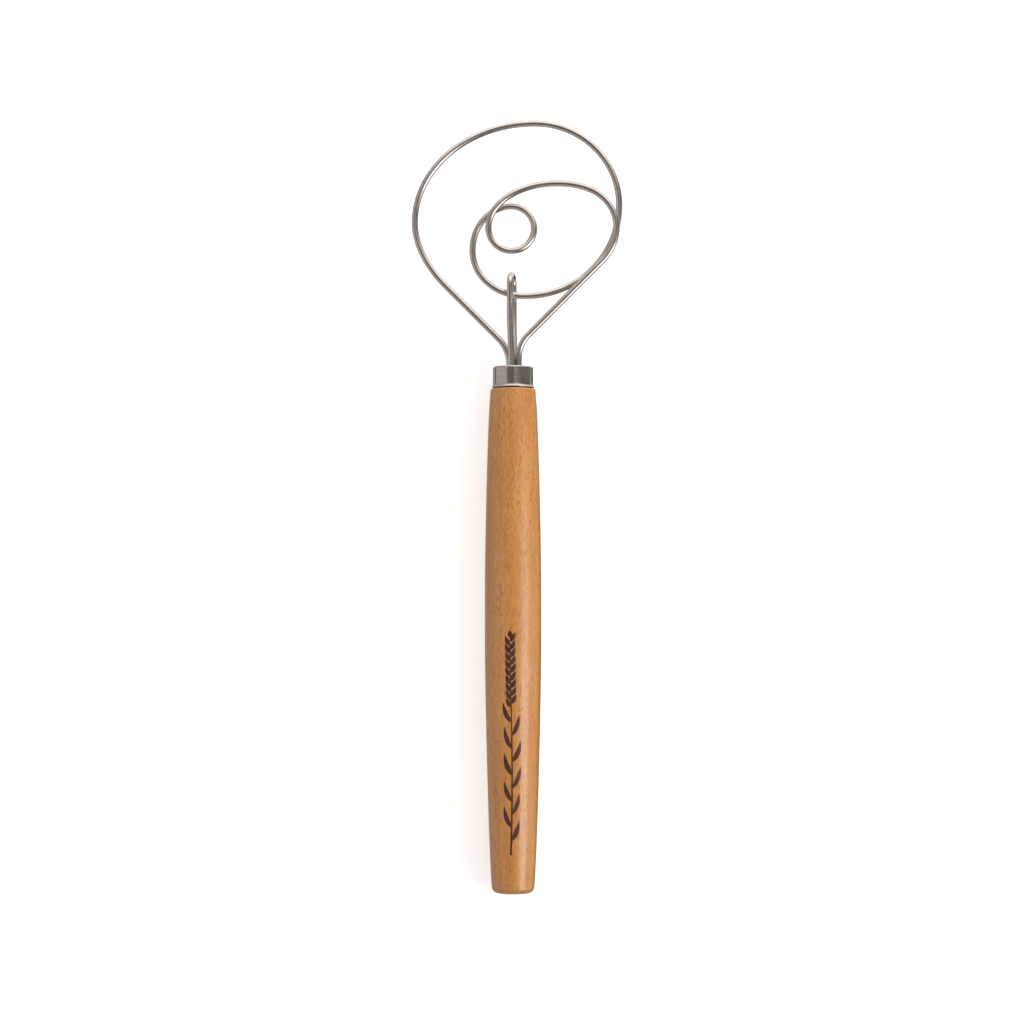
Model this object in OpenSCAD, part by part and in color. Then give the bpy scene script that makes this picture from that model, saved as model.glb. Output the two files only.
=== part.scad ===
// Dough whisk: a turned wooden handle, a drawn metal ferrule and a head of bent round wire.
// It lies flat. +Y runs along the handle from the butt to the head, +X is to the right,
// +Z is square to the plane of the loops, and the origin is at the centre of the butt's flat face.
// Millimetres.

/* [Handle] */
// Length of the wood that shows, from the butt to the ferrule
handle_l = 217.4; // [190:0.1:250]
// Diameter of the belly, the straight stretch that the hand closes on
belly_d = 24.4; // [23:0.1:28]
// Length of that straight stretch
belly_l = 26; // [20:1:40]
// Distance from the butt to the middle of the belly
belly_y = 120; // [100:1:130]
// Diameter just before the rounded edge of the butt
butt_d = 18.4; // [16:0.1:22]
// Radius of the rounded edge of the butt
butt_round = 2.6; // [1:0.1:4]
// Diameter at the neck, below the small rounded shoulder
neck_d = 20; // [19:0.1:21.5]

/* [Ferrule] */
// Diameter of the ferrule at its waist
ferrule_d = 17.5; // [17:0.1:18]
// Height of the ferrule, its lid included
ferrule_h = 9.4; // [8:0.1:14]
// How far the lower rim flares beyond the waist, on the radius
ferrule_flare = 0.45; // [0.3:0.05:0.6]
// Thickness of the drawn metal
ferrule_wall = 0.5; // [0.4:0.05:0.6]
// Open seam between the ferrule's rim and the wood
seam = 0.5; // [0.1:0.05:0.6]

/* [Wire] */
// Diameter of the round wire
wire_d = 2.8; // [2.4:0.1:2.8]
// Width of the big loop, outside to outside
head_w = 92; // [85:0.5:100]
// Radius of the round curl in the middle of the head
curl_r = 10; // [9:0.1:10.5]
// Height of the hook's top above the ferrule, to the middle of the wire
hook_h = 40; // [37:0.5:44]
// Distance between the hook's two legs at its top, middle to middle
hook_gap = 8.4; // [8:0.1:9.5]

/* [Glued joint] */
// Diameter of the blind bore that holds the four wire ends
bore_d = 8; // [7.95:0.05:8.4]
// Depth of the bore from the end of the tenon
bore_l = 45; // [30:1:60]

/* [Hidden] */

fine = 96;
mouth_y = handle_l + seam + ferrule_h;
slack = 0.05;

// The tenon fills the ferrule up to the inside of its lid.
dome_h = 0.2;
tenon_r = ferrule_d / 2 - ferrule_wall - slack;
tenon_top = mouth_y - dome_h - ferrule_wall - slack;
bore_floor = tenon_top - bore_l;

// Where the wires stand in the bore, as [x, z] in the row's plane.
left_leg = wire_d * [-0.57, -0.14];
right_leg = wire_d * [0.86, -0.14];
front_leg = wire_d * [-0.27, 0.84];
back_leg = wire_d * [0.14, -0.875];
wire_floor = bore_floor - mouth_y + 2;

// Half the step between the two layers of wire where they cross.
layer = 0.53 * wire_d;
leg_layer = left_leg[1] / layer;

// Stations along the whisk wire: [x, y above the ferrule, layer, heading in degrees], in
// millimetres on a head of the usual width. The wire turns clockwise all the way.
usual_w = 92.5;
grow = head_w / usual_w;
curl_x = -0.8;
curl_y = 60.8;
big_loop = [
    [-6.4, 12.4, leg_layer, 135],
    [-29, 35, leg_layer, 135],
    [-43.1, 63.3, -0.4, 90],
    [9.6, 107.4, -0.8, 0],
    [46.6, 71.5, -1, -90]
];
inner_loop = [
    [35, 43.2, -1, -135],
    [5, 31.2, -1, -180],
    [-17.8, 51.2, -1, -270]
];
curl = [for (i = [0 : 3])
    let (a = 90 - 90 * i)
    [curl_x + curl_r * cos(a), curl_y + curl_r * sin(a), [-1, -0.4, 0.4, 0.9][i], a - 450]];
outer_arc = [
    [19.2, 80.4, 1, -720],
    [39.2, 74.4, 1, -762],
    [45.3, 61, 1, -810],
    [39.2, 46.5, 1, -855],
    [6.7, 14, leg_layer, -855]
];
shaped = [for (s = concat(big_loop, inner_loop, curl, outer_arc))
    [s[0] * grow, s[1] * grow, s[2] * layer, s[3]]];
stations = concat(
    [[left_leg[0], wire_floor, left_leg[1], 90], [left_leg[0], 0.8, left_leg[1], 90]],
    shaped,
    [[right_leg[0], 3.6, right_leg[1], -810], [right_leg[0], wire_floor, right_leg[1], -810]]);

// Above the ferrule, the heights between which the hook's legs move sideways, and between which
// the front leg and the back leg move apart.
hook_shift = [0, 25];
front_spread = [24, 34];
back_spread = [3, 28];

// ---- curves ----

function unit(v) = v / norm(v);
function along(h) = [cos(h), sin(h)];
function cross2(a, b) = a[0] * b[1] - a[1] * b[0];
function bezier(p, t) =
    pow(1 - t, 3) * p[0] + 3 * pow(1 - t, 2) * t * p[1] + 3 * (1 - t) * t * t * p[2] + t * t * t * p[3];
function smooth(t) = t * t * (3 - 2 * t);

function flat2(s) = [s[0], s[1]];
function gap2(a, b) = norm(flat2(b) - flat2(a));

// How a station's layer changes as the wire passes it, per millimetre.
function climb(i) =
    i == 0 || i == len(stations) - 1 ? 0 :
    let (before = stations[i - 1], here = stations[i], after = stations[i + 1])
    (after[2] - before[2]) / (gap2(before, here) + gap2(here, after));

// The stretch between two stations: an elliptical arc if the heading turns, a line if it doesn't.
function reach(a, b) =
    let (d = flat2(b) - flat2(a), turn = abs(a[3] - b[3]))
    turn < 1 ? [norm(d) / 3, norm(d) / 3] :
    let (ta = along(a[3]), tb = along(b[3]), k = 4 / 3 * tan(turn / 4) / tan(turn / 2) / cross2(ta, tb))
    [k * cross2(d, tb), k * cross2(ta, d)];
function stretch(i, steps) =
    let (a = stations[i], b = stations[i + 1], r = reach(a, b),
        ta = concat(along(a[3]), climb(i)), tb = concat(along(b[3]), climb(i + 1)),
        pa = [a[0], a[1], a[2]], pb = [b[0], b[1], b[2]])
    [for (j = [0 : steps - 1]) bezier([pa, pa + r[0] * ta, pb - r[1] * tb, pb], j / steps)];

// ---- shapes ----

// A round bar along a path. No part of the path may run along the reference direction.
module bar(path, d, reference, sides = 12) {
    n = len(path);
    rings = [for (i = [0 : n - 1])
        let (t = unit(path[min(i + 1, n - 1)] - path[max(i - 1, 0)]),
            u = unit(cross(t, reference)), v = cross(t, u))
        for (k = [0 : sides - 1])
            path[i] + d / 2 * (cos(360 * k / sides) * u + sin(360 * k / sides) * v)];
    walls = [for (i = [0 : n - 2], k = [0 : sides - 1])
        let (a = i * sides + k, b = i * sides + (k + 1) % sides)
        [a, b, b + sides, a + sides]];
    ends = [[for (k = [sides - 1 : -1 : 0]) k], [for (k = [0 : sides - 1]) (n - 1) * sides + k]];
    polyhedron(rings, concat(walls, ends), convexity = 10);
}

// A solid of revolution about the handle's axis, from [radius, y] points.
module turned(outline) {
    rotate([-90, 0, 0])
        rotate_extrude($fn = fine)
            polygon(outline);
}

// A round rod along Y.
module rod(r, from_y, to_y, x = 0, z = 0) {
    translate([x, from_y, z])
        rotate([-90, 0, 0])
            cylinder(r = r, h = to_y - from_y, $fn = fine);
}

function arc(centre, r, from, to, steps = 6) =
    [for (i = [0 : steps]) centre + r * along(from + (to - from) * i / steps)];
function curve(p, steps = 16) = [for (i = [0 : steps]) bezier(p, i / steps)];

// ---- sub-parts ----

// The turned handle: a rounded butt, a long belly, a small shoulder and a tenon with a blind bore.
module handle() {
    butt_r = butt_d / 2;
    belly_r = belly_d / 2;
    neck_r = neck_d / 2;
    neck_y = handle_l - 3.5;
    shoulder_r = neck_r - 0.2;
    shoulder_round = 0.6;
    tenon_edge = 0.7;
    belly_from = belly_y - belly_l / 2;
    belly_to = belly_y + belly_l / 2;
    swell = [
        [butt_r, butt_round],
        [butt_r + 1.4, 20],
        [belly_r, belly_from - 19],
        [belly_r, belly_from]
    ];
    taper = [
        [belly_r, belly_to],
        [belly_r, belly_to + 17],
        [neck_r + 1, neck_y - 9],
        [neck_r, neck_y]
    ];
    outline = concat(
        [[0, 0]],
        arc([butt_r - butt_round, butt_round], butt_round, -90, -5),
        curve(swell),
        curve(taper),
        arc([shoulder_r - shoulder_round, handle_l - shoulder_round], shoulder_round, 0, 90),
        [[tenon_r, handle_l], [tenon_r, tenon_top - tenon_edge], [tenon_r - tenon_edge, tenon_top],
         [0, tenon_top]]);
    color("#c8986a")
        difference() {
            turned(outline);
            rod(bore_d / 2, bore_floor, tenon_top + 1);
        }
}

// The ferrule: a thin cap with a flared lower rim, a rounded edge and a low domed lid with one hole.
module ferrule() {
    waist_r = ferrule_d / 2;
    tube_r = waist_r - ferrule_wall;
    rim_y = handle_l + seam;
    rim_r = waist_r + ferrule_flare;
    rim_round = 0.25;
    edge_r = 0.7;
    edge_x = waist_r - edge_r;
    edge_y = mouth_y - dome_h - edge_r * sin(80);
    dome_r = edge_x + edge_r * cos(80);
    lid_hole_r = bore_d / 2 + 0.1;
    lid_steps = 6;
    lid = [for (i = [0 : lid_steps])
        let (r = dome_r + (lid_hole_r - dome_r) * i / lid_steps)
        [r, mouth_y - dome_h * pow(r / dome_r, 2)]];
    lid_tuck = 0.6;
    under_lid = [for (i = [lid_steps : -1 : 0])
        lid[i] - [lid_tuck * (1 - i / lid_steps), ferrule_wall]];
    flare = [
        [rim_r, rim_y + 0.3],
        [rim_r - 0.3, rim_y + 0.75],
        [waist_r, rim_y + 0.9],
        [waist_r, rim_y + 2]
    ];
    outline = concat(
        [[tube_r, rim_y + 1.5], [tube_r + 0.6 * ferrule_flare, rim_y]],
        arc([rim_r - rim_round, rim_y + rim_round], rim_round, -90, 0, 4),
        curve(flare, 8),
        arc([edge_x, edge_y], edge_r, 0, 80, 8),
        lid,
        under_lid,
        [[tube_r, edge_y]]);
    color("#b4b1ac")
        turned(outline);
}

// The whisk wire: one wire from the bore round the big loop, the inner loop and the curl, and back.
module whisk_wire() {
    last = len(stations) - 1;
    path = concat(
        [for (i = [0 : last - 1]) each stretch(i, 8)],
        [[stations[last][0], stations[last][1], stations[last][2]]]);
    color("#cfccc6")
        translate([0, mouth_y, 0])
            bar(path, wire_d, [0, 0, 1]);
}

// How far a height has come through a range of heights, eased from 0 to 1.
function ease(y, range) = smooth(max(0, min(1, (y - range[0]) / (range[1] - range[0]))));

// A leg of the hook from its foot in the ferrule up to the bend, both as [x, z].
function hook_leg(foot, top, spread, to_y, steps = 16) =
    [for (i = [0 : steps])
        let (y = to_y * i / steps, across = ease(y, hook_shift), apart = ease(y, spread))
        [foot[0] + (top[0] - foot[0]) * across, y, foot[1] + (top[1] - foot[1]) * apart]];

// The hook: a hairpin square to the loops, whose legs close in on each other at the ferrule.
module hook_wire() {
    turn = 10.5;
    middle = [-0.57, -1.15];
    bend_r = hook_gap / 2;
    bend_y = hook_h - bend_r;
    to_front = [-sin(turn), cos(turn)];
    front = hook_leg(front_leg, middle + bend_r * to_front, front_spread, bend_y);
    back = hook_leg(back_leg, middle - bend_r * to_front, back_spread, bend_y);
    bend = [for (a = [12 : 12 : 168])
        let (p = middle + bend_r * cos(a) * to_front)
        [p[0], bend_y + bend_r * sin(a), p[1]]];
    path = concat(
        [[front_leg[0], wire_floor, front_leg[1]]],
        front,
        bend,
        [for (i = [len(back) - 1 : -1 : 0]) back[i]],
        [[back_leg[0], wire_floor, back_leg[1]]]);
    color("#bdbab4")
        translate([0, mouth_y, 0])
            bar(path, wire_d, [1, 0, 0]);
}

// The cured adhesive that fills the bore round the four straight wire ends.
module epoxy_plug() {
    gap = 0.02;
    color("#d9c89a")
        difference() {
            rod(bore_d / 2 - gap, bore_floor + gap, tenon_top + ferrule_wall / 2);
            for (leg = [left_leg, right_leg, front_leg, back_leg])
                rod(wire_d / 2 + gap, mouth_y + wire_floor - gap, mouth_y, leg[0], leg[1]);
        }
}

handle();
ferrule();
whisk_wire();
hook_wire();
epoxy_plug();
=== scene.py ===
"""Looks for the dough whisk: a turned beech handle, a drawn steel ferrule and a head of bent wire.

Lengths are millimetres in the shared frame: +Y runs from the butt to the head, +Z is square to the
loops, and the origin is at the centre of the butt. put_mesh() turns them into metres.
"""

import math
import random

import bpy
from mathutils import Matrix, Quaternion, Vector


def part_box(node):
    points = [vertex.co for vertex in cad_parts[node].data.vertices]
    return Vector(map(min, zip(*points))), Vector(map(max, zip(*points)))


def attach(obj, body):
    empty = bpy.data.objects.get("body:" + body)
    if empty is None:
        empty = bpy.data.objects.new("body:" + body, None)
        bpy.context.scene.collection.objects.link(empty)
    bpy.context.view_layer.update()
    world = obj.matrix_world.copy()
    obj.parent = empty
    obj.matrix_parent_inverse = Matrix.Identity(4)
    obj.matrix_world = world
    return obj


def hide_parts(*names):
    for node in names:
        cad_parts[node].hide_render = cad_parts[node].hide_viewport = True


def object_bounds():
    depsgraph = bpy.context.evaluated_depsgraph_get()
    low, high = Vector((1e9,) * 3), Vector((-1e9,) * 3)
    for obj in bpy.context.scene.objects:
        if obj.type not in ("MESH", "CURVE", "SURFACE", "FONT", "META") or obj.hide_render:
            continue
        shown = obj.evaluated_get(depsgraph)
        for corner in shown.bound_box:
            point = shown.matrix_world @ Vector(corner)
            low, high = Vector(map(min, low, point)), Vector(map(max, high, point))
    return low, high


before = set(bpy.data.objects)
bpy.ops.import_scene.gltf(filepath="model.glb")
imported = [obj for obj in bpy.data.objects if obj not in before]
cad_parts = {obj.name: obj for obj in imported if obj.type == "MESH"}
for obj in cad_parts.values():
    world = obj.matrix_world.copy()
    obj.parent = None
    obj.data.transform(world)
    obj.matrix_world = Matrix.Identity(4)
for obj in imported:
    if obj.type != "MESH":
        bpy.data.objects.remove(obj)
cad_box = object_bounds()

MM = 0.001
SEED = 7

# ---- sizes, as in the CAD model ----

WIRE_D = 2.8
HEAD_W = 92.0
USUAL_W = 92.5
CURL_R = 10.0
HOOK_H = 40.0
HOOK_GAP = 8.4
HOOK_TURN = 10.5
HOOK_MIDDLE = (-0.57, -1.15)
BORE_R = 4.0
FERRULE_H = 9.4
FERRULE_R = 8.75
FERRULE_WALL = 0.5
FERRULE_FLARE = 0.45
DOME_H = 0.2
BELLY_Y = 120.0
BELLY_L = 26.0
BUTT_R = 9.2
BUTT_ROUND = 2.6
NECK_R = 10.0
SEAM = 0.5

RIM_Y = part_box("ferrule")[0].y / MM
MOUTH_Y = RIM_Y + FERRULE_H
HANDLE_L = RIM_Y - SEAM
BELLY_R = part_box("handle")[1].x / MM
TENON_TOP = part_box("handle")[1].y / MM
TENON_SLACK = 0.05
TENON_R = FERRULE_R - FERRULE_WALL - TENON_SLACK
BORE_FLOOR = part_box("epoxy_plug")[0].y / MM
WIRE_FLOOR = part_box("whisk_wire")[0].y / MM - MOUTH_Y

# Where the wires stand in the ferrule, as (x, z).
LEFT_LEG = Vector((-0.57, -0.14)) * WIRE_D
RIGHT_LEG = Vector((0.86, -0.14)) * WIRE_D
FRONT_LEG = Vector((-0.27, 0.84)) * WIRE_D
BACK_LEG = Vector((0.14, -0.875)) * WIRE_D

# Half the step between the two layers of wire where they cross.
LAYER = 0.53 * WIRE_D
LEG_LAYER = LEFT_LEG.y / LAYER

# Stations along the whisk wire: x, y above the ferrule, layer and heading in degrees.
BIG_LOOP = [
    (-6.4, 12.4, LEG_LAYER, 135),
    (-29, 35, LEG_LAYER, 135),
    (-43.1, 63.3, -0.4, 90),
    (9.6, 107.4, -0.8, 0),
    (46.6, 71.5, -1, -90),
]
INNER_LOOP = [
    (35, 43.2, -1, -135),
    (5, 31.2, -1, -180),
    (-17.8, 51.2, -1, -270),
]
CURL_CENTRE = (-0.8, 60.8)
CURL_LAYERS = (-1, -0.4, 0.4, 0.9)
OUTER_ARC = [
    (19.2, 80.4, 1, -720),
    (39.2, 74.4, 1, -762),
    (45.3, 61, 1, -810),
    (39.2, 46.5, 1, -855),
    (6.7, 14, LEG_LAYER, -855),
]

# Heights above the ferrule at which the whisk wire's left and right legs stop being straight.
LEFT_STRAIGHT = 0.8
RIGHT_STRAIGHT = 3.6


# ---- curves ----

def along(degrees):
    """The unit vector at an angle from the first axis towards the second."""
    return Vector((math.cos(math.radians(degrees)), math.sin(math.radians(degrees))))


def bezier(p, t):
    """The point at t, from 0 to 1, on the cubic curve with control points p."""
    return ((1 - t) ** 3 * p[0] + 3 * (1 - t) ** 2 * t * p[1]
            + 3 * (1 - t) * t * t * p[2] + t ** 3 * p[3])


def curve(points, steps):
    """A whole cubic curve as steps + 1 points."""
    p = [Vector(q) for q in points]
    return [bezier(p, i / steps) for i in range(steps + 1)]


def arc(centre, r, start, end, steps):
    """A circular arc between two angles in degrees, as steps + 1 points."""
    return [Vector(centre) + r * along(start + (end - start) * i / steps) for i in range(steps + 1)]


def smooth(t):
    return t * t * (3 - 2 * t)


def ease(y, low, high):
    """How far y has come from low to high, eased from 0 to 1."""
    return smooth(max(0.0, min(1.0, (y - low) / (high - low))))


def whisk_stations():
    """Every station of the whisk wire, as x, y above the ferrule, z and heading."""
    curl = []
    for i, layer in enumerate(CURL_LAYERS):
        spot = Vector(CURL_CENTRE) + CURL_R * along(90 - 90 * i)
        curl.append((spot.x, spot.y, layer, -360 - 90 * i))
    grow = HEAD_W / USUAL_W
    shaped = [(x * grow, y * grow, layer * LAYER, heading)
              for x, y, layer, heading in BIG_LOOP + INNER_LOOP + curl + OUTER_ARC]
    left = [(LEFT_LEG.x, y, LEFT_LEG.y, 90) for y in (WIRE_FLOOR, LEFT_STRAIGHT)]
    right = [(RIGHT_LEG.x, y, RIGHT_LEG.y, -810) for y in (RIGHT_STRAIGHT, WIRE_FLOOR)]
    return left + shaped + right


def reach(a, b):
    """How far the handles of the curve between two stations reach, as in the CAD model."""
    step = Vector(b[:2]) - Vector(a[:2])
    turn = abs(a[3] - b[3])
    if turn < 1:
        return step.length / 3, step.length / 3
    from_dir, to_dir = along(a[3]), along(b[3])
    k = 4 / 3 * math.tan(math.radians(turn / 4)) / math.tan(math.radians(turn / 2))
    k /= from_dir.cross(to_dir)
    return k * step.cross(to_dir), k * from_dir.cross(step)


def whisk_path(spacing=0.7):
    """The middle line of the whisk wire, with a point about every spacing millimetres."""
    stations = whisk_stations()
    climb = [0.0] * len(stations)
    for i in range(1, len(stations) - 1):
        before, here, after = (Vector(stations[j][:2]) for j in (i - 1, i, i + 1))
        climb[i] = ((stations[i + 1][2] - stations[i - 1][2])
                    / ((here - before).length + (after - here).length))
    path = []
    for i in range(len(stations) - 1):
        a, b = stations[i], stations[i + 1]
        near, far = reach(a, b)
        start, end = Vector(a[:3]), Vector(b[:3])
        leave = Vector((*along(a[3]), climb[i]))
        arrive = Vector((*along(b[3]), climb[i + 1]))
        handles = [start, start + near * leave, end - far * arrive, end]
        steps = max(2, round((end - start).length * 1.05 / spacing))
        path += [bezier(handles, j / steps) for j in range(steps)]
    path.append(Vector(stations[-1][:3]))
    return [p + Vector((0, MOUTH_Y, 0)) for p in path]


# The heights above the ferrule between which the hook's legs move sideways and move apart.
HOOK_SHIFT = (0, 25)
FRONT_SPREAD = (24, 34)
BACK_SPREAD = (3, 28)


def hook_leg(foot, top, spread, to_y, steps=56):
    """One leg of the hook, from its foot in the ferrule to the start of the bend at its top."""
    leg = []
    for i in range(steps + 1):
        y = to_y * i / steps
        across, apart = ease(y, *HOOK_SHIFT), ease(y, *spread)
        leg.append(Vector((foot.x + (top.x - foot.x) * across, y, foot.y + (top.y - foot.y) * apart)))
    return leg


def hook_path():
    """The middle line of the hook: up the front leg, round the bend and down the back leg."""
    middle = Vector(HOOK_MIDDLE)
    bend_r = HOOK_GAP / 2
    bend_y = HOOK_H - bend_r
    turn = math.radians(HOOK_TURN)
    to_front = Vector((-math.sin(turn), math.cos(turn)))
    front = hook_leg(FRONT_LEG, middle + bend_r * to_front, FRONT_SPREAD, bend_y)
    back = hook_leg(BACK_LEG, middle - bend_r * to_front, BACK_SPREAD, bend_y)
    bend = []
    for a in range(6, 180, 6):
        spot = middle + bend_r * along(a).x * to_front
        bend.append(Vector((spot.x, bend_y + bend_r * along(a).y, spot.y)))
    down = [Vector((FRONT_LEG.x, WIRE_FLOOR * i / 12, FRONT_LEG.y)) for i in range(12, 0, -1)]
    up = [Vector((BACK_LEG.x, WIRE_FLOOR * i / 12, BACK_LEG.y)) for i in range(1, 13)]
    return [p + Vector((0, MOUTH_Y, 0)) for p in down + front + bend + back[::-1] + up]


# ---- meshes ----

def put_mesh(name, points, faces, uvs=None, crease=40):
    """A smooth-shaded object from points in millimetres. uvs holds one (u, v) for each face corner."""
    mesh = bpy.data.meshes.new(name)
    mesh.from_pydata([tuple(Vector(p) * MM) for p in points], [], faces)
    if uvs is not None:
        layer = mesh.uv_layers.new(name="surface")
        for corner, uv in zip(layer.data, uvs):
            corner.uv = uv
    mesh.validate()
    mesh.shade_smooth()
    mesh.set_sharp_from_angle(angle=math.radians(crease))
    piece = bpy.data.objects.new(name, mesh)
    bpy.context.scene.collection.objects.link(piece)
    return piece


def turned(name, outline, sides, crease=40):
    """A solid of revolution about the handle's axis, from (radius, y) points that start and end anywhere.

    A point with no radius closes the solid on the axis. Otherwise the outline is a closed ring.
    """
    points, rings = [], []
    for r, y in outline:
        if r < 1e-6:
            rings.append([len(points)] * sides)
            points.append((0, y, 0))
            continue
        rings.append(list(range(len(points), len(points) + sides)))
        for k in range(sides):
            a = 2 * math.pi * k / sides
            points.append((r * math.sin(a), y, r * math.cos(a)))
    if outline[0][0] > 1e-6:
        rings.append(rings[0])
    faces = []
    for low, high in zip(rings, rings[1:]):
        for k in range(sides):
            n = (k + 1) % sides
            face = [low[k], low[n], high[n], high[k]]
            faces.append(list(dict.fromkeys(face)))
    return put_mesh(name, points, faces, crease=crease)


def bent_wire(name, path, reference, sides=32):
    """A round wire along a path, with rounded ends and a UV of angle and length for its finish."""
    r = WIRE_D / 2
    tangents = []
    for i in range(len(path)):
        tangents.append((path[min(i + 1, len(path) - 1)] - path[max(i - 1, 0)]).normalized())
    edge = 0.35
    rounding = [(edge * (1 - math.cos(a)), edge * (1 - math.sin(a)))
                for a in (math.radians(15 * i) for i in range(7))]
    rings = []
    for inward, shrink in rounding[:-1]:
        rings.append((path[0] + tangents[0] * inward, tangents[0], r - shrink))
    rings += [(p, t, r) for p, t in zip(path[1:-1], tangents[1:-1])]
    for inward, shrink in rounding[-2::-1]:
        rings.append((path[-1] - tangents[-1] * inward, tangents[-1], r - shrink))
    points = []
    for centre, t, radius in rings:
        u = t.cross(Vector(reference)).normalized()
        v = t.cross(u)
        for k in range(sides):
            a = 2 * math.pi * k / sides
            points.append(centre + radius * (math.cos(a) * u + math.sin(a) * v))
    faces, uvs = [], []
    length = 0.0
    for i in range(len(rings) - 1):
        step = (rings[i + 1][0] - rings[i][0]).length
        for k in range(sides):
            n = (k + 1) % sides
            faces.append((i * sides + k, i * sides + n, (i + 1) * sides + n, (i + 1) * sides + k))
            low, high = k / sides, (k + 1) / sides
            uvs += [(low, length), (high, length), (high, length + step), (low, length + step)]
        length += step
    last = (len(rings) - 1) * sides
    for cap in (list(range(sides))[::-1], [last + k for k in range(sides)]):
        faces.append(cap)
        uvs += [(k / sides, 0.0) for k in range(sides)]
    uvs = [(u * math.pi * WIRE_D * MM, v * MM) for u, v in uvs]
    return put_mesh(name, points, faces, uvs)


# ---- the handle ----

def handle_profile():
    """The handle's visible outline from the butt's flat face to the shoulder, as (radius, y)."""
    belly_from, belly_to = BELLY_Y - BELLY_L / 2, BELLY_Y + BELLY_L / 2
    neck_y = HANDLE_L - 3.5
    shoulder_r, shoulder_round = NECK_R - 0.2, 0.6
    face = [(r, 0) for r in (0, 1.5, 3, 4.5, 5.8)]
    butt = arc((BUTT_R - BUTT_ROUND, BUTT_ROUND), BUTT_ROUND, -90, -5, 14)
    swell = curve([(BUTT_R, BUTT_ROUND), (BUTT_R + 1.4, 20),
                   (BELLY_R, belly_from - 19), (BELLY_R, belly_from)], 70)
    belly = [(BELLY_R, belly_from + BELLY_L * i / 18) for i in range(1, 18)]
    taper = curve([(BELLY_R, belly_to), (BELLY_R, belly_to + 17),
                   (NECK_R + 1, neck_y - 9), (NECK_R, neck_y)], 60)
    shoulder = arc((shoulder_r - shoulder_round, HANDLE_L - shoulder_round), shoulder_round, 0, 90, 8)
    return [tuple(p) for p in face + butt + swell + belly + taper + shoulder]


PROFILE = handle_profile()


def radius_at(y):
    """The handle's radius at a distance from the butt."""
    for (r0, y0), (r1, y1) in zip(PROFILE, PROFILE[1:]):
        if y0 <= y <= y1 and y1 > y0:
            return r0 + (r1 - r0) * (y - y0) / (y1 - y0)
    return NECK_R


def make_handle():
    """The turned handle, with its tenon inside the ferrule and its blind bore."""
    foot, edge, lip = 0.2, 0.7, 0.3
    tenon = [(TENON_R + foot, HANDLE_L), (TENON_R, HANDLE_L + foot),
             (TENON_R, TENON_TOP - edge), (TENON_R - edge, TENON_TOP),
             (BORE_R + lip, TENON_TOP), (BORE_R, TENON_TOP - lip),
             (BORE_R, BORE_FLOOR), (0, BORE_FLOOR)]
    return turned("turned_handle", PROFILE + tenon, 192)


# ---- the ferrule ----

def make_ferrule():
    """The drawn cup: a straight wall, a curled rim, a rounded top edge and a domed lid with a hole."""
    tube_r = FERRULE_R - FERRULE_WALL
    rim_r = FERRULE_R + FERRULE_FLARE
    rim_round = 0.25
    edge_r, edge_turn = 0.7, 80
    edge_x = FERRULE_R - edge_r
    edge_y = MOUTH_Y - DOME_H - edge_r * along(edge_turn).y
    dome_r = edge_x + edge_r * along(edge_turn).x
    hole_r = BORE_R + 0.1
    lid_round, lid_steps = 0.12, 12
    lid = []
    for i in range(lid_steps + 1):
        r = dome_r + (hole_r + lid_round - dome_r) * i / lid_steps
        lid.append((r, MOUTH_Y - DOME_H * (r / dome_r) ** 2))
    lip_y = lid[-1][1] - lid_round
    lip = arc((hole_r + lid_round, lip_y), lid_round, 90, 180, 5)
    under = [(hole_r, lid[-1][1] - FERRULE_WALL)]
    under += [(r - 0.6 * (1 - i / lid_steps), y - FERRULE_WALL)
              for i, (r, y) in list(enumerate(lid))[-2::-1]]
    flare_top = RIM_Y + 2
    flare = curve([(rim_r, RIM_Y + 0.3), (rim_r - 0.3, RIM_Y + 0.75),
                   (FERRULE_R, RIM_Y + 0.9), (FERRULE_R, flare_top)], 24)
    wall = [(FERRULE_R, flare_top + (edge_y - flare_top) * i / 4) for i in range(1, 4)]
    outline = ([(tube_r, RIM_Y + 1.5), (tube_r + 0.3 * FERRULE_FLARE, RIM_Y + 0.6),
                (tube_r + 0.6 * FERRULE_FLARE, RIM_Y)]
               + arc((rim_r - rim_round, RIM_Y + rim_round), rim_round, -90, 0, 8)
               + flare + wall + arc((edge_x, edge_y), edge_r, 0, edge_turn, 16)
               + lid[1:] + lip[1:] + under + [(tube_r, edge_y)])
    return turned("drawn_ferrule", outline, 160)


# ---- the glue round the wire ends ----

def make_glue():
    """The glue fill, with a skin that creeps up each wire."""
    sides, rows = 72, 22
    creep, creep_width = 0.45, 0.3
    outer = BORE_R - 0.02
    legs = (LEFT_LEG, RIGHT_LEG, FRONT_LEG, BACK_LEG)
    top = TENON_TOP + 0.05
    points = [(0, top, 0)]
    for j in range(1, rows + 1):
        for k in range(sides):
            a = 2 * math.pi * k / sides
            r = outer * j / rows
            spot = Vector((r * math.sin(a), r * math.cos(a)))
            gap = min([abs((spot - leg).length - WIRE_D / 2) for leg in legs] + [outer - r])
            points.append((spot.x, top + creep * math.exp(-gap / creep_width), spot.y))
    faces = [(0, 1 + k, 1 + (k + 1) % sides) for k in range(sides)]
    for j in range(rows - 1):
        for k in range(sides):
            n = (k + 1) % sides
            a, b = 1 + j * sides, 1 + (j + 1) * sides
            faces.append((a + k, b + k, b + n, a + n))
    rim = 1 + (rows - 1) * sides
    foot = len(points)
    for k in range(sides):
        a = 2 * math.pi * k / sides
        points.append((outer * math.sin(a), BORE_FLOOR, outer * math.cos(a)))
    for k in range(sides):
        n = (k + 1) % sides
        faces.append((rim + k, foot + k, foot + n, rim + n))
    faces.append([foot + k for k in range(sides)][::-1])
    return put_mesh("glue_fill", points, faces)


# ---- the burnt sprig on the handle ----

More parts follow.
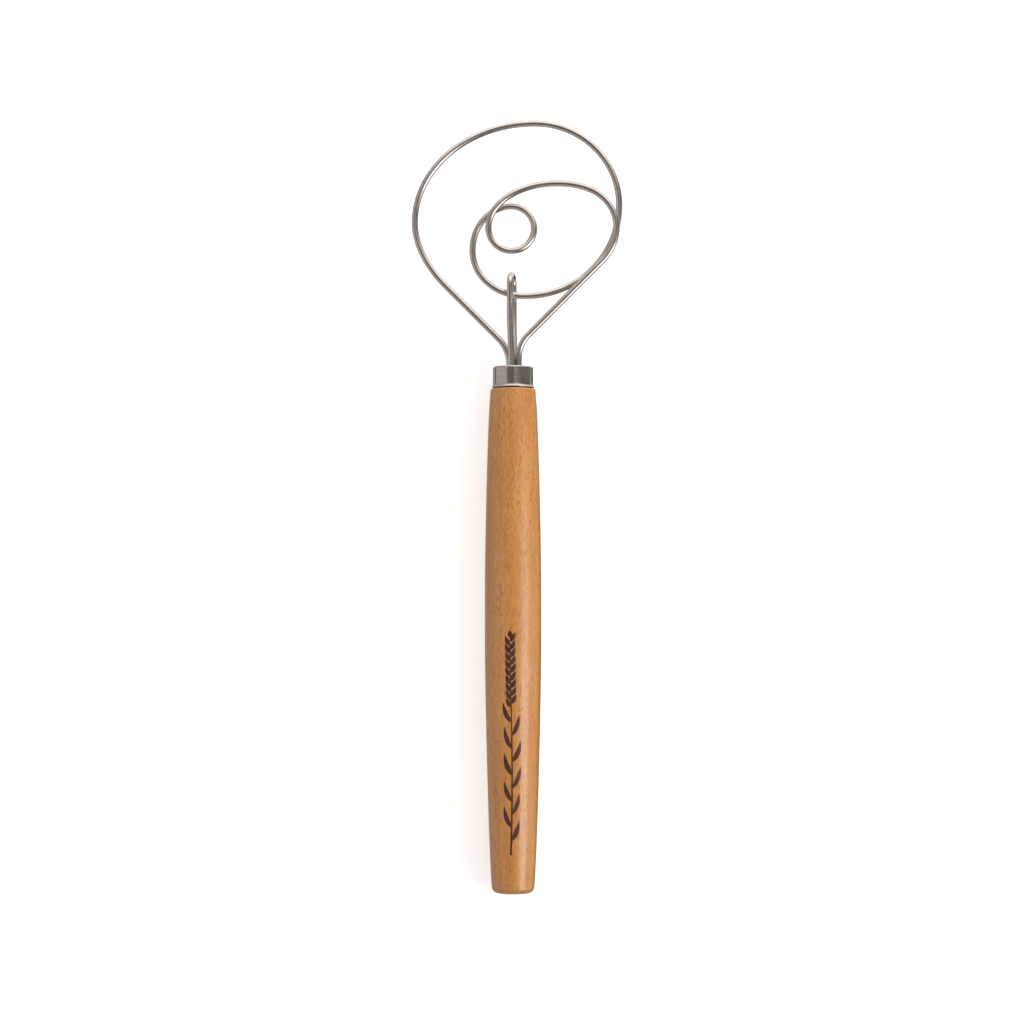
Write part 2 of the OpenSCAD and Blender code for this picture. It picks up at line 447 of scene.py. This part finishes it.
SPRIG_FROM = 17.0
SPRIG_TO = 113.0
SPRIG_X = -0.9
SPRIG_PROUD = 0.03
SPRIG_DEEP = 0.12
SPRIG_EDGE = 0.02
EAR_L = 33
LEAF_STEP = 5.6
GRAIN_STEP = 3.3


def wrapped(across, y, lift):
    """A point on the front of the handle, across millimetres from the sprig's stem."""
    r = radius_at(y)
    a = (SPRIG_X + across) / r
    return (r + lift) * math.sin(a), y, (r + lift) * math.cos(a)


def stroke(points, faces, spine, widths):
    """Adds a thin closed patch along a spine of (across, y) points, hugging the handle."""
    base = len(points)
    columns = (-1, -0.6, 0, 0.6, 1)
    n = len(columns)
    for lift in (SPRIG_PROUD, -SPRIG_DEEP):
        for i, (spot, width) in enumerate(zip(spine, widths)):
            ahead = spine[min(i + 1, len(spine) - 1)] - spine[max(i - 1, 0)]
            side = Vector((ahead.y, -ahead.x)).normalized()
            for c in columns:
                p = spot + side * c * width
                points.append(wrapped(p.x, p.y, lift - (SPRIG_EDGE if abs(c) == 1 and lift > 0 else 0)))
    rows = len(spine)
    below = base + rows * n
    for i in range(rows - 1):
        for c in range(n - 1):
            a = i * n + c
            faces.append((base + a, base + a + 1, base + a + n + 1, base + a + n))
            faces.append((below + a, below + a + n, below + a + n + 1, below + a + 1))
        for c in (0, n - 1):
            a, b = i * n + c, (i + 1) * n + c
            side_face = (base + a, base + b, below + b, below + a)
            faces.append(side_face if c == 0 else side_face[::-1])
    for i in (0, rows - 1):
        for c in range(n - 1):
            a = i * n + c
            end_face = (base + a, below + a, below + a + 1, base + a + 1)
            faces.append(end_face if i == 0 else end_face[::-1])


def leaf(points, faces, root, heading, length, width, bend):
    """A pointed leaf that starts at root and curls by bend degrees along its length."""
    steps = 12
    spot, spine, widths = Vector(root), [], []
    for i in range(steps + 1):
        t = i / steps
        spine.append(spot.copy())
        widths.append(width * max(0.04, math.sin(math.pi * t ** 0.8) ** 0.9))
        spot += along(heading + bend * t) * length / steps
    stroke(points, faces, spine, widths)


def make_sprig():
    """A generic ear of wheat with a leafy stem, burnt into the wood."""
    rng = random.Random(SEED)
    points, faces = [], []
    ear_from = SPRIG_TO - EAR_L
    bare = 6

    def stem_x(y):
        return 0.5 * math.sin((y - SPRIG_FROM) / 21)

    rows = 60
    stem = [SPRIG_FROM + (SPRIG_TO - bare - SPRIG_FROM) * i / rows for i in range(rows + 1)]
    stem_widths = [0.42 - 0.2 * i / rows for i in range(rows + 1)]
    stroke(points, faces, [Vector((stem_x(y), y)) for y in stem], stem_widths)
    y, side = SPRIG_FROM + bare, 1
    while y < ear_from - bare:
        lean = 90 - side * rng.uniform(34, 40)
        leaf(points, faces, (stem_x(y), y), lean, rng.uniform(9.5, 10.5), rng.uniform(0.95, 1.1), side * 34)
        y += LEAF_STEP
        side = -side
    y = ear_from
    while y < SPRIG_TO - bare:
        for side in (-1, 1):
            shift = 1.6 if side > 0 else 0
            leaf(points, faces, (stem_x(y), y + shift), 90 - side * 38, 4.6, 0.95, side * 24)
        y += GRAIN_STEP
    leaf(points, faces, (stem_x(y), y), 90, SPRIG_TO - y, 1.0, 0)
    return put_mesh("burnt_sprig", points, faces, crease=60)


# ---- materials ----

class Nodes:
    """A small helper that adds and links the nodes of a material or a world."""

    def __init__(self, owner):
        owner.use_nodes = True
        self.owner = owner
        self.tree = owner.node_tree
        self.shader = self.tree.nodes.get("Principled BSDF") or self.tree.nodes["Background"]

    @classmethod
    def material(cls, name):
        return cls(bpy.data.materials.new(name))

    def set(self, node, values):
        """Gives inputs their values, or links them where the value is another node's output."""
        for key, value in values.items():
            if isinstance(value, bpy.types.NodeSocket):
                self.tree.links.new(value, node.inputs[key])
            else:
                node.inputs[key].default_value = value
        return node

    def add(self, kind, values=None, **settings):
        node = self.tree.nodes.new("ShaderNode" + kind)
        for key, value in settings.items():
            setattr(node, key, value)
        return self.set(node, values or {})

    def place(self):
        return self.add("TexCoord").outputs["Object"]

    def stretched(self, source, scale, turn=(0, 0, 0)):
        node = self.add("Mapping", {"Vector": source, "Scale": scale, "Rotation": turn})
        return node.outputs["Vector"]

    def noise(self, vector, scale=1.0, detail=3.0, roughness=0.5, distortion=0.0):
        node = self.add("TexNoise", {"Vector": vector, "Scale": scale, "Detail": detail,
                                     "Roughness": roughness, "Distortion": distortion})
        return node.outputs["Fac"]

    def ramp(self, factor, low, high, to_low=0.0, to_high=1.0):
        """Carries the range low to high over to another range, held at both ends."""
        node = self.add("MapRange", {"Value": factor, "From Min": low, "From Max": high,
                                     "To Min": to_low, "To Max": to_high})
        return node.outputs["Result"]

    def math(self, operation, a, b):
        return self.add("Math", {0: a, 1: b}, operation=operation).outputs[0]

    def mix(self, factor, a, b):
        """Colour a where the factor is 0, and colour b where it is 1."""
        node = self.add("Mix", {"Factor": factor}, data_type="RGBA")
        for key, value in (("A_Color", a), ("B_Color", b)):
            socket = next(s for s in node.inputs if s.identifier == key)
            if isinstance(value, bpy.types.NodeSocket):
                self.tree.links.new(value, socket)
            else:
                socket.default_value = (*value, 1)
        return next(s for s in node.outputs if s.identifier == "Result_Color")

    def bump(self, height, strength, distance):
        node = self.add("Bump", {"Height": height, "Strength": strength, "Distance": distance})
        return node.outputs["Normal"]


def beech():
    """Lacquered beech: straight grain, fine fibres and short dark flecks, with end grain on the butt.

    The wood from the seam up into the ferrule is painted near black, as painted shade for the shadow in the
    gap and inside the ferrule.
    """
    m = Nodes.material("beech_lacquered")
    place = m.place()
    pith = m.add("Mapping", {"Vector": place, "Location": (0.021, 0, 0.034)}).outputs["Vector"]
    rings = m.add("TexWave", {"Vector": pith, "Scale": 118.0, "Distortion": 3.2, "Detail": 2.0,
                              "Detail Scale": 0.6}, wave_type="RINGS", rings_direction="Y",
                  wave_profile="SAW").outputs["Fac"]
    figure = m.noise(m.stretched(place, (230, 26, 230)), detail=3, distortion=0.4)
    fibre = m.noise(m.stretched(place, (1900, 120, 1900)), detail=3, roughness=0.6)
    fleck = m.noise(m.stretched(place, (1700, 420, 1700), (0, 0, 0.06)), detail=2, roughness=0.5)
    flecks = m.ramp(fleck, 0.54, 0.66)
    patchy = m.noise(m.stretched(place, (300, 60, 300)), detail=2)
    tone = m.mix(m.ramp(figure, 0.36, 0.64), (0.640, 0.262, 0.050), (0.700, 0.334, 0.084))
    tone = m.mix(m.ramp(rings, 0.0, 1.0, 0.0, 0.22), tone, (0.470, 0.180, 0.048))
    tone = m.mix(m.ramp(fibre, 0.40, 0.66, 0.0, 0.46), tone, (0.430, 0.170, 0.045))
    depth = m.math("MULTIPLY", flecks, m.ramp(patchy, 0.35, 0.60, 0.40, 0.85))
    tone = m.mix(depth, tone, (0.380, 0.130, 0.032))
    facing = m.add("SeparateXYZ", {0: m.add("TexCoord").outputs["Normal"]}).outputs["Y"]
    end_grain = m.ramp(facing, -0.80, -0.97)
    tone = m.mix(m.math("MULTIPLY", end_grain, 0.45), tone, (0.330, 0.130, 0.042))
    along_axis = m.add("SeparateXYZ", {0: place}).outputs["Y"]
    # Painted shade: the wood from just below the shoulder's top up into the ferrule is darkened to stand
    # for the shadow in the seam.
    seam_painted_shade = m.ramp(along_axis, (HANDLE_L - 0.08) * MM, (HANDLE_L + 0.02) * MM)
    tone = m.mix(seam_painted_shade, tone, (0.060, 0.028, 0.014))
    m.set(m.shader, {
        "Base Color": tone,
        "Roughness": m.ramp(fibre, 0.3, 0.7, 0.36, 0.48),
        "Normal": m.bump(m.math("SUBTRACT", fibre, flecks), 0.16, 0.00006),
        "Specular IOR Level": 0.6,
        "Coat Weight": 1.0,
        "Coat Roughness": 0.24,
        "Coat IOR": 1.62,
    })
    return m.owner


def burnt_wood():
    """Wood charred dark brown by a hot stamp, with the grain still showing through."""
    m = Nodes.material("beech_burnt")
    place = m.place()
    fibre = m.noise(m.stretched(place, (2600, 110, 2600)), detail=3, roughness=0.6)
    patch = m.noise(m.stretched(place, (700, 500, 700)), detail=3)
    tone = m.mix(m.ramp(fibre, 0.35, 0.68), (0.040, 0.010, 0.006), (0.105, 0.030, 0.015))
    tone = m.mix(m.ramp(patch, 0.50, 0.75, 0.0, 0.5), tone, (0.165, 0.055, 0.024))
    m.set(m.shader, {
        "Base Color": tone,
        "Roughness": m.ramp(fibre, 0.3, 0.7, 0.45, 0.62),
        "Normal": m.bump(fibre, 0.3, 0.00006),
        "Coat Weight": 0.35,
        "Coat Roughness": 0.28,
    })
    return m.owner


def polished_wire():
    """Bright stainless wire with the fine lengthwise lines of drawing."""
    m = Nodes.material("wire_polished")
    surface = m.add("UVMap", uv_map="surface").outputs["UV"]
    lines = m.noise(m.stretched(surface, (9000, 60, 1)), detail=3, roughness=0.6)
    smear = m.noise(m.place(), scale=260, detail=4, roughness=0.6)
    speck = m.noise(m.place(), scale=2600, detail=2)
    tone = m.mix(m.ramp(smear, 0.3, 0.7), (0.700, 0.668, 0.630), (0.790, 0.765, 0.735))
    tone = m.mix(m.ramp(speck, 0.62, 0.80, 0.0, 0.30), tone, (0.420, 0.385, 0.350))
    m.set(m.shader, {
        "Base Color": tone,
        "Metallic": 1.0,
        "Roughness": m.ramp(m.math("ADD", lines, smear), 0.7, 1.3, 0.13, 0.21),
        "Normal": m.bump(lines, 0.10, 0.00002),
    })
    return m.owner


def drawn_steel():
    """The ferrule's steel: duller than the wire, with turned lines round it and faint mottling."""
    m = Nodes.material("ferrule_brushed")
    place = m.place()
    lines = m.noise(m.stretched(place, (90, 9000, 90)), detail=3, roughness=0.6)
    mottle = m.noise(place, scale=620, detail=4, roughness=0.62)
    smear = m.noise(place, scale=140, detail=2)
    tone = m.mix(m.ramp(mottle, 0.32, 0.68), (0.620, 0.585, 0.555), (0.740, 0.705, 0.675))
    tone = m.mix(m.ramp(smear, 0.45, 0.70, 0.0, 0.35), tone, (0.570, 0.520, 0.475))
    m.set(m.shader, {
        "Base Color": tone,
        "Metallic": 1.0,
        "Roughness": m.ramp(mottle, 0.3, 0.7, 0.07, 0.13),
        "Normal": m.bump(lines, 0.06, 0.00002),
    })
    return m.owner


def amber_glue():
    """Cured adhesive, clear amber with a few bubbles."""
    m = Nodes.material("glue_amber")
    place = m.place()
    cloud = m.noise(place, scale=500, detail=3)
    bubbles = m.add("TexVoronoi", {"Vector": place, "Scale": 1500.0}).outputs["Distance"]
    tone = m.mix(m.ramp(cloud, 0.3, 0.7), (0.560, 0.410, 0.180), (0.700, 0.560, 0.300))
    tone = m.mix(m.ramp(bubbles, 0.12, 0.02, 0.0, 0.5), tone, (0.85, 0.78, 0.62))
    m.set(m.shader, {
        "Base Color": tone,
        "Roughness": m.ramp(cloud, 0.3, 0.7, 0.12, 0.25),
        "Normal": m.bump(cloud, 0.2, 0.00005),
        "Subsurface Weight": 0.25,
        "Subsurface Radius": (0.002, 0.001, 0.0005),
    })
    return m.owner


def pale_paper(glow=0.50):
    """White paper that glows a little, which thins the shadows."""
    m = Nodes.material("floor_pale")
    tone = m.mix(m.noise(m.place(), scale=60, detail=3), (0.900, 0.900, 0.900), (0.925, 0.925, 0.925))
    m.set(m.shader, {
        "Base Color": tone,
        "Roughness": 0.75,
        "Specular IOR Level": 0.2,
        "Emission Color": (1, 1, 1, 1),
        "Emission Strength": glow,
    })
    return m.owner


def dress(piece, material, slot, *nodes):
    """Gives a piece its finish, hangs it on the root body and hides the CAD parts that it replaces."""
    piece.data.materials.append(material)
    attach(piece, "root")
    if nodes:
        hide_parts(*nodes)


# ---- the object ----

dress(make_handle(), beech(), "beech", "handle")
dress(make_sprig(), burnt_wood(), "beech")
dress(make_ferrule(), drawn_steel(), "ferrule_steel", "ferrule")
wire = polished_wire()
dress(bent_wire("whisk_loops", whisk_path(), (0, 0, 1)), wire, "wire_steel", "whisk_wire")
dress(bent_wire("hairpin_hook", hook_path(), (1, 0, 0)), wire, "wire_steel", "hook_wire")
dress(make_glue(), amber_glue(), "epoxy", "epoxy_plug")


# ---- floor, light and camera ----

# Where the lamps and the camera aim, along the handle's axis.
LIGHT_Y = 220
VIEW_Y = 164


def make_floor():
    """A round white floor whose far edge sweeps up, so that no horizon shows from low down.

    Only the camera sees it. The object's light and reflections come from the lamps and the room.
    """
    flat_r, sweep_r, wall_top, sides = 3000, 2000, 6000, 64
    y_mid, z = VIEW_Y, cad_box[0].z / MM - 0.05
    outline = arc((flat_r, sweep_r), sweep_r, -90, 0, 16) + [(flat_r + sweep_r, wall_top)]
    points, faces = [(0, y_mid, z)], []
    for r, height in outline:
        for i in range(sides):
            around = along(360 * i / sides) * r
            points.append((around.x, y_mid + around.y, z + height))
    for i in range(sides):
        here, after = i + 1, (i + 1) % sides + 1
        faces.append((0, here, after))
        for ring in range(len(outline) - 1):
            a, b = ring * sides, (ring + 1) * sides
            faces.append((a + here, b + here, b + after, a + after))
    floor = put_mesh("floor", points, faces)
    floor.data.materials.append(pale_paper())
    floor.visible_glossy = False
    floor.visible_diffuse = False
    floor.visible_shadow = False


def toward(azimuth, polar):
    """A direction away from the object: azimuth from +X towards +Y, polar from +Z, in degrees."""
    flat = along(azimuth) * math.sin(math.radians(polar))
    return Vector((flat.x, flat.y, math.cos(math.radians(polar))))


def softbox(name, azimuth, polar, distance, width, height, radiance, tint, roll=0, mirrored=True):
    """A rectangular soft light that faces the ferrule. Polished things show it if it is mirrored.

    Its distance and its sides are in metres.
    """
    light = bpy.data.lights.new(name, "AREA")
    light.shape = "RECTANGLE"
    light.size, light.size_y = width, height
    light.energy = radiance * math.pi * width * height
    light.color = tint
    lamp = bpy.data.objects.new(name, light)
    aim = Vector((0, LIGHT_Y * MM, 0))
    away = toward(azimuth, polar)
    lamp.location = aim + away * distance
    spin = Quaternion((0, 0, 1), math.radians(roll))
    lamp.rotation_euler = (away.to_track_quat("Z", "Y") @ spin).to_euler()
    lamp.visible_glossy = mirrored
    lamp.visible_camera = False
    bpy.context.scene.collection.objects.link(lamp)


# How bright the room is round the horizon: azimuth in degrees from +X towards +Y, and radiance.
# It is bright at the head, fairly bright at lower right, and dark on either side of that light.
HORIZON = [
    (-180, 0.49), (-150, 0.45), (-86, 0.41), (-76, 0.28), (-68, 0.13), (-52, 0.13), (-45, 0.32),
    (-39, 0.66), (-15, 0.82), (-8, 0.60), (-1, 0.42), (4, 0.18), (19, 0.13), (27, 0.33),
    (38, 0.78), (47, 1.14), (108, 1.18), (122, 0.84), (132, 0.52), (142, 0.37), (163, 0.41),
    (180, 0.49),
]
ROOM_TINT = (1.07, 0.99, 0.94)

# Darker patches of the room, low and high, that the steel mirrors: azimuth and polar angle,
# the radii where each patch is full and where it ends, in degrees, and its colour.
LOW_PATCHES = [
    (-24, 146, 18, 36, (0.04, 0.03, 0.03)),
    (176, 121, 4, 9, (0.16, 0.14, 0.13)),
]
HIGH_PATCHES = [
    (240, 26, 22, 38, (0.200, 0.172, 0.160)),
    (180, 14, 17, 22, (0.175, 0.155, 0.148)),
    (235, 11, 8, 17, (0.085, 0.065, 0.055)),
]


def studio():
    """A room lit from the head's side and from the right, with dark gaps beside that light."""
    world = bpy.data.worlds.new("studio")
    bpy.context.scene.world = world
    room = Nodes(world)
    direction = room.add("TexCoord").outputs["Generated"]

    def spot(azimuth, polar, inner, outer):
        """1 within inner degrees of a direction, and 0 beyond outer degrees."""
        dot = room.add("VectorMath", {0: direction, 1: toward(azimuth, polar)}, operation="DOT_PRODUCT")
        return room.ramp(dot.outputs["Value"], math.cos(math.radians(outer)), math.cos(math.radians(inner)))

    parts = room.add("SeparateXYZ", {0: direction})
    turn = room.math("ARCTAN2", parts.outputs["Y"], parts.outputs["X"])
    ring = room.add("ValToRGB", {"Fac": room.ramp(turn, -math.pi, math.pi)})
    stops = ring.color_ramp.elements
    for azimuth, _ in HORIZON[1:-1]:
        stops.new((azimuth + 180) / 360)
    for stop, (azimuth, bright) in zip(stops, HORIZON):
        stop.color = (*(bright * c for c in ROOM_TINT), 1)
    table = room.mix(room.ramp(parts.outputs["X"], -0.3, 0.3), (0.35, 0.33, 0.31), (0.80, 0.78, 0.76))
    tone = room.mix(room.ramp(parts.outputs["Z"], -0.40, -0.66), ring.outputs["Color"], table)
    for *patch, colour in LOW_PATCHES:
        tone = room.mix(spot(*patch), tone, colour)
    ceiling = room.ramp(parts.outputs["Z"], 0.70, 0.96)
    tone = room.mix(ceiling, tone, (0.32, 0.295, 0.275))
    for *patch, colour in HIGH_PATCHES:
        tone = room.mix(spot(*patch), tone, colour)
    room.set(room.shader, {"Color": tone})


def make_camera():
    """A long view of the front, leaning a little to the butt."""
    distance, lean, view_px, focal_px, sensor = 1.0, math.radians(2.5), 1024, 2306, 36
    target = Vector((-0.46, VIEW_Y, 0)) * MM
    camera = bpy.data.cameras.new("camera")
    camera.sensor_width = sensor
    camera.lens = sensor * focal_px / view_px
    camera.clip_start = 0.01
    holder = bpy.data.objects.new("camera", camera)
    away = Vector((0, -math.sin(lean), math.cos(lean)))
    holder.location = target + away * distance
    holder.rotation_euler = (lean, 0, 0)
    bpy.context.scene.collection.objects.link(holder)
    bpy.context.scene.camera = holder


make_floor()
studio()
softbox("top_light", 77, 62, 1.5, 2.9, 1.7, 1.08, (1.0, 0.965, 0.92), mirrored=False)
softbox("left_fill", 190, 38, 1.5, 1.6, 1.6, 0.17, (1.0, 0.97, 0.94), mirrored=False)
softbox("side_fill", -10, 55, 1.5, 1.0, 1.0, 1.85, (0.96, 0.985, 1.0), mirrored=False)
softbox("side_light", -23, 52, 0.75, 0.42, 0.42, 1.85, (0.98, 0.985, 0.99), roll=10)
make_camera()
bpy.context.scene.view_settings.view_transform = "Standard"
